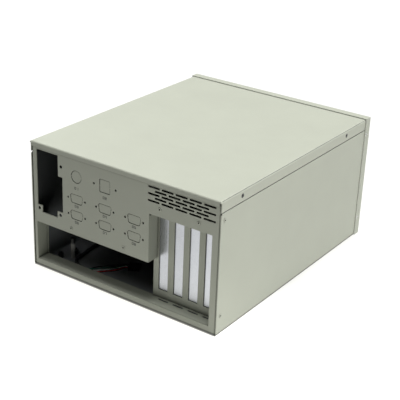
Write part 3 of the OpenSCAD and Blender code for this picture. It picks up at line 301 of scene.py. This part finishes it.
# Most of a texture's values lie between these two
TEXTURE_LOW = 0.25
TEXTURE_HIGH = 0.75
SLOW_SCALE = 22.0
SLOW_DETAIL = 4.0
FINE_DETAIL = 3.0
FINE_ROUGHNESS = 0.6
GLOSS_BELOW = 0.06
GLOSS_ABOVE = 0.08
RELIEF_STRENGTH = 0.5
BEVEL_SAMPLES = 6
# Places of a mix node's colours among its sockets
MIX_FIRST = 6
MIX_SECOND = 7
MIX_RESULT = 2


def new_material(name, colour, roughness, metallic=0.0, specular=0.5):
    """A material with its shader's constant values set, and a texture place in metres."""
    material = bpy.data.materials.new(name)
    material.use_nodes = True
    tree = material.node_tree
    shader = tree.nodes["Principled BSDF"]
    shader.inputs["Base Color"].default_value = (*colour, 1.0)
    shader.inputs["Roughness"].default_value = roughness
    shader.inputs["Metallic"].default_value = metallic
    shader.inputs["Specular IOR Level"].default_value = specular
    place = tree.nodes.new("ShaderNodeTexCoord").outputs["Object"]
    return material, tree, shader, place


def stretched(tree, place, scale):
    """A texture place that is scaled differently along each axis."""
    node = tree.nodes.new("ShaderNodeMapping")
    node.inputs["Scale"].default_value = scale
    tree.links.new(place, node.inputs["Vector"])
    return node.outputs["Vector"]


def noise(tree, place, scale, detail, roughness=0.55):
    """A soft random texture."""
    node = tree.nodes.new("ShaderNodeTexNoise")
    node.inputs["Scale"].default_value = scale
    node.inputs["Detail"].default_value = detail
    node.inputs["Roughness"].default_value = roughness
    tree.links.new(place, node.inputs["Vector"])
    return node.outputs["Fac"]


def spread(tree, value, low, high):
    """A number between two, by a texture's value."""
    node = tree.nodes.new("ShaderNodeMapRange")
    node.inputs["From Min"].default_value = TEXTURE_LOW
    node.inputs["From Max"].default_value = TEXTURE_HIGH
    node.inputs["To Min"].default_value = low
    node.inputs["To Max"].default_value = high
    tree.links.new(value, node.inputs["Value"])
    return node.outputs["Result"]


def between(tree, value, low, high):
    """A colour between two, by a texture's value."""
    node = tree.nodes.new("ShaderNodeValToRGB")
    first, second = node.color_ramp.elements
    first.position = TEXTURE_LOW
    first.color = (*low, 1.0)
    second.position = TEXTURE_HIGH
    second.color = (*high, 1.0)
    tree.links.new(value, node.inputs["Fac"])
    return node.outputs["Color"]


def bumped(tree, shader, value, depth, strength, edge=None):
    """Sets a fine relief, with sharp edges softened to a radius if one is given."""
    bump = tree.nodes.new("ShaderNodeBump")
    bump.inputs["Distance"].default_value = depth
    bump.inputs["Strength"].default_value = strength
    tree.links.new(value, bump.inputs["Height"])
    if edge:
        bevel = tree.nodes.new("ShaderNodeBevel")
        bevel.samples = BEVEL_SAMPLES
        bevel.inputs["Radius"].default_value = edge
        tree.links.new(bevel.outputs["Normal"], bump.inputs["Normal"])
    tree.links.new(bump.outputs["Normal"], shader.inputs["Normal"])


def shaded(colour, factor):
    return tuple(min(1.0, c * factor) for c in colour)


def grained(name, colour, roughness, grain, depth, change, metallic=0.0, specular=0.5, edge=None,
            stretch=None):
    """A finish with slow colour change, fine grain in its gloss and a fine relief."""
    material, tree, shader, place = new_material(name, colour, roughness, metallic, specular)
    slow = noise(tree, place, SLOW_SCALE, SLOW_DETAIL)
    fine_place = stretched(tree, place, stretch) if stretch else place
    fine = noise(tree, fine_place, grain, FINE_DETAIL, FINE_ROUGHNESS)
    tone = between(tree, slow, shaded(colour, 1 - change), shaded(colour, 1 + change))
    gloss = spread(tree, fine, roughness - GLOSS_BELOW, roughness + GLOSS_ABOVE)
    tree.links.new(tone, shader.inputs["Base Color"])
    tree.links.new(gloss, shader.inputs["Roughness"])
    bumped(tree, shader, fine, depth, RELIEF_STRENGTH, edge)
    return material, tree, shader


def calc(tree, operation, *values):
    """A math node over numbers and other nodes' values."""
    node = tree.nodes.new("ShaderNodeMath")
    node.operation = operation
    for socket, value in zip(node.inputs, values):
        if isinstance(value, float):
            socket.default_value = value
        else:
            tree.links.new(value, socket)
    return node.outputs["Value"]


def within(tree, value, low, high):
    """One where a coordinate lies between two places in millimetres, nought elsewhere."""
    return calc(tree, "COMPARE", value, (low + high) / 2 * MM, (high - low) / 2 * MM)


def ramp(tree, value, low, high):
    """Nought up to one place along an axis and one from another, in millimetres."""
    node = tree.nodes.new("ShaderNodeMapRange")
    node.inputs["From Min"].default_value = low * MM
    node.inputs["From Max"].default_value = high * MM
    tree.links.new(value, node.inputs["Value"])
    return node.outputs["Result"]


def all_of(tree, *shares):
    """The product of several shares."""
    result = shares[0]
    for share in shares[1:]:
        result = calc(tree, "MULTIPLY", result, share)
    return result


def coordinates(tree):
    """The three coordinates of a place on the piece."""
    apart = tree.nodes.new("ShaderNodeSeparateXYZ")
    tree.links.new(tree.nodes["Texture Coordinate"].outputs["Object"], apart.inputs["Vector"])
    return apart.outputs["X"], apart.outputs["Y"], apart.outputs["Z"]


def mixed(tree, share, first, second):
    """A mix of two colours, each a number triple or another node's colour."""
    mix = tree.nodes.new("ShaderNodeMix")
    mix.data_type = "RGBA"
    tree.links.new(share, mix.inputs["Factor"])
    for socket, colour in ((mix.inputs[MIX_FIRST], first), (mix.inputs[MIX_SECOND], second)):
        if isinstance(colour, tuple):
            socket.default_value = (*colour, 1.0)
        else:
            tree.links.new(colour, socket)
    return mix.outputs[MIX_RESULT]


# Paint

PAINT = (0.312, 0.325, 0.272)
# Radius of its softened edges and reach of its painted shade in corners, in metres
PAINT_EDGE = 0.0004
SHEET_CORNER_SHADE = 0.0034
FRONT_CORNER_SHADE = 0.0003
CORNER_SHADE_SAMPLES = 8
# Its other colours: painted shade inside the case and at the rear foot, painted light on the cut end and
# the slot sill, and the places where they change, in millimetres
INSIDE_SHADE_LOW = (0.200, 0.211, 0.220)
INSIDE_SHADE_HIGH = (0.060, 0.064, 0.064)
INSIDE_SHADE_RISE = (30.0, 75.0)
CUT_END_LIGHT = (0.74, 0.76, 0.68)
CUT_END_LIGHT_DEPTH = 0.02
FOOT_SHADE = (0.105, 0.108, 0.094)
FOOT_SHADE_RISE = (0.8, 3.4)
SLOT_SILL_LIGHT = (0.42, 0.44, 0.37)
SLOT_SILL_LIGHT_X = (36.0, 46.0)
SLOT_SILL_LIGHT_Z = (7.4, 9.2)
# Edges of the rear recess, in millimetres
RECESS_LEFT = -125.4
RECESS_RIGHT = 121.9
RECESS_SILL = 8.4
RECESS_BOX_EDGE = 39.1
RECESS_BOX_Z = 58.2
RECESS_LEDGE = 117.2
RECESS_DEPTH = 15.9
# Depth of the skin at the rear and front faces, and reach of the space inside, in millimetres
REAR_SKIN = 1.6
FRONT_SKIN = 0.5
INNER_HALF = 131.0
INNER_Z = (0.9, 157.2)


def inside_shade_share(tree, x, y, z):
    """One where painted shade covers the inside: behind the rear panel and the slot panel and under the
    outer sheets, nought elsewhere.
    """
    board_part = all_of(tree, within(tree, x, RECESS_LEFT, RECESS_RIGHT),
                        within(tree, z, RECESS_SILL, RECESS_BOX_Z))
    slot_part = all_of(tree, within(tree, x, RECESS_BOX_EDGE, RECESS_RIGHT),
                       within(tree, z, RECESS_SILL, RECESS_LEDGE))
    recess = calc(tree, "MAXIMUM", board_part, slot_part)
    skin = calc(tree, "MULTIPLY_ADD", recess, RECESS_DEPTH * MM, REAR_Y + REAR_SKIN * MM)
    front = cad_high.y - FRONT_SKIN * MM
    return all_of(tree, calc(tree, "GREATER_THAN", y, skin), calc(tree, "LESS_THAN", y, front),
                  within(tree, x, -INNER_HALF, INNER_HALF), within(tree, z, *INNER_Z))


def slot_sill_light_share(tree, behind, x, y, z):
    """One where painted light lies on the recess's sill in front of the slots, nought elsewhere."""
    recessed = calc(tree, "LESS_THAN", y, REAR_Y + RECESS_DEPTH * MM)
    slot_side = all_of(tree, ramp(tree, x, *SLOT_SILL_LIGHT_X), calc(tree, "LESS_THAN", x, RECESS_RIGHT * MM))
    return all_of(tree, behind, recessed, within(tree, z, *SLOT_SILL_LIGHT_Z), slot_side)


def painted_corner_shade(tree, colour, reach):
    """A colour with painted shade in its corners."""
    corners = tree.nodes.new("ShaderNodeAmbientOcclusion")
    corners.samples = CORNER_SHADE_SAMPLES
    corners.inputs["Distance"].default_value = reach
    tree.links.new(colour, corners.inputs["Color"])
    return corners.outputs["Color"]


def painted(name, reach, painted_light_end=None):
    """Paint, with painted shade in corners, at the rear foot and inside the case, and painted light on the
    slot sill and the cut end.
    """
    material, tree, shader = grained(name, PAINT, roughness=0.52, grain=1500.0, depth=0.00004, change=0.025,
                                     specular=0.25, edge=PAINT_EDGE)
    x, y, z = coordinates(tree)
    # Painted shade in corners
    colour = painted_corner_shade(tree, shader.inputs["Base Color"].links[0].from_socket, reach)
    behind = calc(tree, "GREATER_THAN", y, REAR_Y + REAR_SKIN * MM)
    # Painted shade on the rear foot, darkest near the floor
    foot_unshaded = calc(tree, "MAXIMUM", ramp(tree, z, *FOOT_SHADE_RISE), behind)
    colour = mixed(tree, foot_unshaded, FOOT_SHADE, colour)
    # Painted light on the sill in front of the slots
    colour = mixed(tree, slot_sill_light_share(tree, behind, x, y, z), colour, SLOT_SILL_LIGHT)
    # Painted light on the front panel's cut end
    if painted_light_end is not None:
        colour = mixed(tree, calc(tree, "LESS_THAN", y, painted_light_end + CUT_END_LIGHT_DEPTH * MM), colour, CUT_END_LIGHT)
    # Painted shade inside the case, lighter towards its floor
    inside = mixed(tree, ramp(tree, z, *INSIDE_SHADE_RISE), INSIDE_SHADE_LOW, INSIDE_SHADE_HIGH)
    colour = mixed(tree, inside_shade_share(tree, x, y, z), colour, inside)
    tree.links.new(colour, shader.inputs["Base Color"])
    return material


# Other finishes

# Radius of the softened edges, in metres
EDGE = 0.0003
# Stretch of the zinc's grain, which runs along the height
BRUSHED = (9.0, 9.0, 0.4)
# The pillar's painted shade at its top, and the heights between which it darkens, in millimetres
PILLAR_TOP_SHADE = (0.02, 0.02, 0.02)
PILLAR_SHADE_Z = (18.5, 22.5)
BUTTON_COAT = 0.3
LENS_CLEARNESS = 0.35
LENS_IOR = 1.5
FOAM = (0.035, 0.035, 0.038)
FOAM_LOW = (0.012, 0.012, 0.013)
FOAM_HIGH = (0.06, 0.06, 0.064)
FOAM_ROUGHNESS = 0.95
FOAM_SCALE = 900.0
FOAM_DEPTH = 0.0006
FOAM_STRENGTH = 0.9


def zinc(colour):
    return grained("zinc_plate", colour, roughness=0.30, grain=260.0, depth=0.00002, change=0.05,
                   metallic=1.0, edge=EDGE, stretch=BRUSHED)[0]


def darker_zinc(name, colour):
    return grained(name, colour, roughness=0.22, grain=260.0, depth=0.00001, change=0.08,
                   metallic=1.0, edge=EDGE)[0]


def pillar_plate_and_shade(colour):
    """Pale plating, with painted shade towards the pillar's top."""
    material, tree, shader = grained("pillar_plate_and_shade", colour, roughness=0.30, grain=260.0, depth=0.00001,
                                     change=0.08, edge=EDGE)
    plated = shader.inputs["Base Color"].links[0].from_socket
    # Painted shade towards the pillar's top
    pillar_shade_share = ramp(tree, coordinates(tree)[2], *PILLAR_SHADE_Z)
    tree.links.new(mixed(tree, pillar_shade_share, plated, PILLAR_TOP_SHADE), shader.inputs["Base Color"])
    return material


def black_oxide(colour):
    return grained("black_oxide", colour, roughness=0.42, grain=1800.0, depth=0.00002, change=0.2)[0]


def black_plastic(colour):
    return grained("black_plastic", colour, roughness=0.48, grain=2600.0, depth=0.00004, change=0.15,
                   specular=0.45, edge=EDGE)[0]


def red_plastic(colour):
    material, _, shader = grained("red_plastic", colour, roughness=0.30, grain=900.0, depth=0.000008,
                                  change=0.08, edge=EDGE)
    shader.inputs["Coat Weight"].default_value = BUTTON_COAT
    return material


def foam():
    """Open foam, dark in its cells."""
    material, tree, shader, place = new_material("filter_foam", FOAM, FOAM_ROUGHNESS)
    cells = tree.nodes.new("ShaderNodeTexVoronoi")
    cells.inputs["Scale"].default_value = FOAM_SCALE
    tree.links.new(place, cells.inputs["Vector"])
    tone = between(tree, cells.outputs["Distance"], FOAM_LOW, FOAM_HIGH)
    tree.links.new(tone, shader.inputs["Base Color"])
    bumped(tree, shader, cells.outputs["Distance"], FOAM_DEPTH, FOAM_STRENGTH)
    return material


def lens(name, colour):
    material, _, shader = grained(name, colour, roughness=0.22, grain=700.0, depth=0.00001, change=0.1)
    shader.inputs["Transmission Weight"].default_value = LENS_CLEARNESS
    shader.inputs["IOR"].default_value = LENS_IOR
    return material


def insulation(name, colour, roughness=0.40):
    return grained(name, colour, roughness, grain=1200.0, depth=0.00003, change=0.08, specular=0.45)[0]


finishes = {
    "painted_sheet": painted("painted_sheet", SHEET_CORNER_SHADE),
    "painted_front": painted("painted_front", FRONT_CORNER_SHADE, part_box("front_panel")[0].y),
    "zinc_steel": zinc((0.50, 0.513, 0.545)),
    # A darker copy of the zinc, painted shade for the wall nuts inside the case
    "darker_zinc": darker_zinc("darker_zinc", (0.26, 0.26, 0.25)),
    "grey_zinc": darker_zinc("grey_zinc", (0.44, 0.45, 0.43)),
    "pillar_plate_and_shade": pillar_plate_and_shade((0.36, 0.36, 0.34)),
    "black_steel": black_oxide((0.018, 0.018, 0.019)),
    "black_plastic": black_plastic((0.020, 0.020, 0.022)),
    "red_plastic": red_plastic((0.42, 0.022, 0.020)),
    "filter_foam": foam(),
    "green_lens": lens("green_lens", (0.06, 0.36, 0.10)),
    "amber_lens": lens("amber_lens", (0.62, 0.26, 0.02)),
    "cable_jacket": insulation("cable_jacket", (0.022, 0.022, 0.024), roughness=0.55),
    "wire_red": insulation("wire_red", (0.58, 0.024, 0.030)),
    "wire_white": insulation("wire_white", (0.90, 0.90, 0.87)),
    "wire_green": insulation("wire_green", (0.012, 0.125, 0.075)),
    "wire_black": insulation("wire_black", (0.018, 0.018, 0.019)),
}
# Nodes whose finish differs from that of their material slot
SPECIAL = {
    "front_panel": "painted_front",
    "front_panel_screws": "grey_zinc",
    "tall_standoff": "pillar_plate_and_shade",
    # Painted shade: the wall nuts inside the case take the darker zinc
    "wall_mount_nuts": "darker_zinc",
}


def dress(piece, finish):
    """Gives a piece its finish, in each material slot that it has."""
    if piece.material_slots:
        for held in piece.material_slots:
            held.material = finishes[finish]
    else:
        piece.data.materials.append(finishes[finish])


slot_of = {row["node"]: row["material_slot"] for row in frame["record"]["subparts"]}
for name, piece in nodes.items():
    dress(piece, SPECIAL.get(name, slot_of[name]))
for colour, piece in wires.items():
    dress(piece, "wire_" + colour)
dress(jacket, "cable_jacket")
for piece in numerals:
    dress(piece, "black_plastic")


# Floor: it glows like a light table, most at two places off the rear face and one beside the case

FLOOR_SIZE = 6.0
FLOOR_TONE = (0.34, 0.34, 0.34)
FLOOR_LOW = (0.336, 0.336, 0.336)
FLOOR_HIGH = (0.344, 0.344, 0.344)
FLOOR_ROUGHNESS = 0.9
FLOOR_SPECULAR = 0.1
FLOOR_SCALE = 3.0
FLOOR_DETAIL = 2.0
GLOW_COLOUR = (1.0, 1.0, 0.94, 1.0)
FLOOR_GLOW = 0.36
# Places and reaches of the brighter ovals, in metres
GLOW_SPOTS = (
    {"place": (0.17, -0.225), "reach": (0.24, 0.24), "strength": 0.8},
    {"place": (-0.07, -0.172), "reach": (0.22, 0.085), "strength": 0.52},
    {"place": (0.15, 0.10), "reach": (0.15, 0.24), "strength": 0.16},
)
# The painted shadow at the rear foot: its reach and half width in millimetres, its share and its tone
CONTACT_SHADOW_REACH = 2.2
CONTACT_SHADOW_HALF = 131.0
CONTACT_SHADOW_SHARE = 0.84
CONTACT_SHADOW_TONE = (0.03, 0.03, 0.03)


def glow_spot(tree, place, spot):
    """A soft oval of light on the floor, strongest in its middle."""
    (x, y), (wide, long) = spot["place"], spot["reach"]
    oval = tree.nodes.new("ShaderNodeVectorMath")
    oval.operation = "MULTIPLY_ADD"
    oval.inputs[1].default_value = (1 / wide, 1 / long, 1.0)
    oval.inputs[2].default_value = (-x / wide, -y / long, 0.0)
    tree.links.new(place, oval.inputs[0])
    away = tree.nodes.new("ShaderNodeVectorMath")
    away.operation = "LENGTH"
    tree.links.new(oval.outputs["Vector"], away.inputs[0])
    glow = tree.nodes.new("ShaderNodeMapRange")
    glow.interpolation_type = "SMOOTHSTEP"
    glow.inputs["To Min"].default_value = spot["strength"]
    glow.inputs["To Max"].default_value = 0.0
    tree.links.new(away.outputs["Value"], glow.inputs["Value"])
    return glow.outputs["Result"]


def contact_shadow_share(tree):
    """How much painted shadow lies on the floor under the case, fading out just behind the rear foot."""
    x, y, _ = coordinates(tree)
    rear, front = REAR_Y / MM, cad_high.y / MM
    start = rear - CONTACT_SHADOW_REACH
    return all_of(tree, within(tree, y, start, front), within(tree, x, -CONTACT_SHADOW_HALF, CONTACT_SHADOW_HALF),
                  ramp(tree, y, start, rear), CONTACT_SHADOW_SHARE)


def add_floor():
    bpy.ops.mesh.primitive_plane_add(size=FLOOR_SIZE, location=(0.0, 0.0, 0.0))
    floor = bpy.context.object
    floor.name = "floor"
    material, tree, shader, place = new_material("floor", FLOOR_TONE, FLOOR_ROUGHNESS,
                                                 specular=FLOOR_SPECULAR)
    # Painted shadow on the floor at the rear foot
    contact_shadow = contact_shadow_share(tree)
    plain = between(tree, noise(tree, place, FLOOR_SCALE, FLOOR_DETAIL), FLOOR_LOW, FLOOR_HIGH)
    tree.links.new(mixed(tree, contact_shadow, plain, CONTACT_SHADOW_TONE), shader.inputs["Base Color"])
    glow = FLOOR_GLOW
    for spot in GLOW_SPOTS:
        glow = calc(tree, "ADD", glow_spot(tree, place, spot), glow)
    # The glow is left out under the painted shadow
    open_share = calc(tree, "SUBTRACT", 1.0, contact_shadow)
    shader.inputs["Emission Color"].default_value = GLOW_COLOUR
    tree.links.new(calc(tree, "MULTIPLY", glow, open_share), shader.inputs["Emission Strength"])
    floor.data.materials.append(material)


add_floor()


# Light

WHITE = (1.0, 1.0, 1.0, 1.0)
SUNS = (
    {"name": "soft_overhead", "toward": (0.05, 0.20, 1.0), "strength": 5.45, "width_deg": 44.0},
    {"name": "soft_side", "toward": (0.88, 0.40, 0.22), "strength": 2.45, "width_deg": 36.0},
    {"name": "soft_front", "toward": (0.10, -0.47, 0.88), "strength": 0.40, "width_deg": 26.0},
    {"name": "soft_fill", "toward": (-0.85, 0.35, 0.30), "strength": 1.3, "width_deg": 44.0},
)


def add_sun(name, toward, strength, width_deg):
    """A soft light that shines from a direction, the same all over."""
    data = bpy.data.lights.new(name, "SUN")
    data.energy = strength
    data.angle = math.radians(width_deg)
    light = add_object(name, data)
    light.rotation_euler = Vector(toward).to_track_quat("Z", "Y").to_euler()


def add_sky():
    """A white backdrop beyond the floor, which sheds no light on the object."""
    world = bpy.data.worlds.new("studio")
    bpy.context.scene.world = world
    world.use_nodes = True
    shader = world.node_tree.nodes["Background"]
    shader.inputs["Color"].default_value = WHITE
    shader.inputs["Strength"].default_value = 1.0
    world.cycles_visibility.diffuse = False
    world.cycles_visibility.glossy = False
    world.cycles_visibility.transmission = False


for sun in SUNS:
    add_sun(**sun)
add_sky()
bpy.context.scene.view_settings.view_transform = "Standard"
